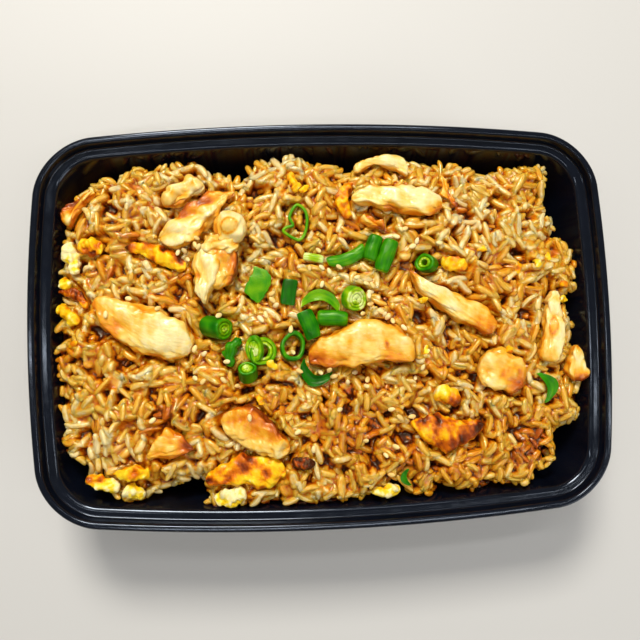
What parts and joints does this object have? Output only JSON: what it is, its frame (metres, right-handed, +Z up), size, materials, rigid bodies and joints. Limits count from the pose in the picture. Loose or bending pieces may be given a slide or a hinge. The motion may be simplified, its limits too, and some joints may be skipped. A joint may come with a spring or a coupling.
{
  "type": "tray of chicken fried rice",
  "caption": "Takeaway tray filled with fried rice, chicken pieces, fried egg, spring onion and sesame seeds; rests on its foot ring.",
  "frame": {"origin": "middle of the tray's outline at the level of its foot ring", "axes": "+Z up, +X along the tray's long side, +Y towards the far long side of the picture"},
  "size_m": [0.222, 0.1544, 0.0505],
  "materials": {
    "tray": "near-black glossy moulded polypropylene",
    "rice": "cream to amber cooked grains with a thin oily sheen over dark brown gaps",
    "chicken": "pale cream cooked meat, golden to brown where it was fried",
    "egg": "bright yellow fried egg with orange-brown charred edges",
    "onion": "wet green leaf with pale green to white stem faces"
  },
  "bodies": {
    "root": {"tray": "tray", "onion_heart_ring": "onion", "onion_leaf_patch": "onion", "onion_dark_patch": "onion", "onion_light_arc": "onion", "onion_standing_patch": "onion", "onion_dark_fold": "onion", "onion_right_leaf": "onion", "onion_near_curl": "onion", "onion_stem_slice_pale": "onion", "onion_small_ring": "onion", "onion_left_tube": "onion", "onion_stem_slice_green": "onion", "onion_stem_end": "onion", "onion_open_ring": "onion", "onion_roll_behind_chunk": "onion", "onion_double_tube_left": "onion", "onion_double_tube_right": "onion", "onion_green_strip": "onion", "onion_yellow_green_tip": "onion", "onion_dark_chain": "onion", "chicken_left_slab": "chicken", "chicken_far_slice": "chicken", "chicken_right_strip": "chicken", "chicken_middle_chunk": "chicken", "chicken_lower_chunk": "chicken", "chicken_pulled_piece": "chicken", "chicken_browned_strip": "chicken", "chicken_round_chunk": "chicken", "chicken_right_sliver": "chicken", "chicken_hooked_piece": "chicken", "chicken_golden_piece": "chicken", "chicken_edge_piece": "chicken", "chicken_corner_piece": "chicken", "chicken_golden_shred": "chicken", "chicken_fibre_shred": "chicken", "chicken_brown_strip": "chicken", "egg_yellow_strip": "egg", "egg_browned_piece": "egg", "egg_charred_piece": "egg", "egg_far_crescent": "egg", "egg_lower_left_blob": "egg", "egg_left_pale_piece": "egg", "egg_left_edge_strip": "egg", "egg_near_pale_piece": "egg", "egg_far_yellow_bit": "egg", "egg_yellow_brown_bit": "egg", "egg_near_yellow_bit": "egg", "egg_left_golden_bit": "egg", "egg_right_golden_bit": "egg", "egg_corner_white_bit": "egg", "egg_corner_pale_bit": "egg", "egg_charred_bit": "egg", "egg_left_tip_bit": "egg", "egg_left_cap_bit": "egg", "rice": "rice"}
  },
  "joints": []
}
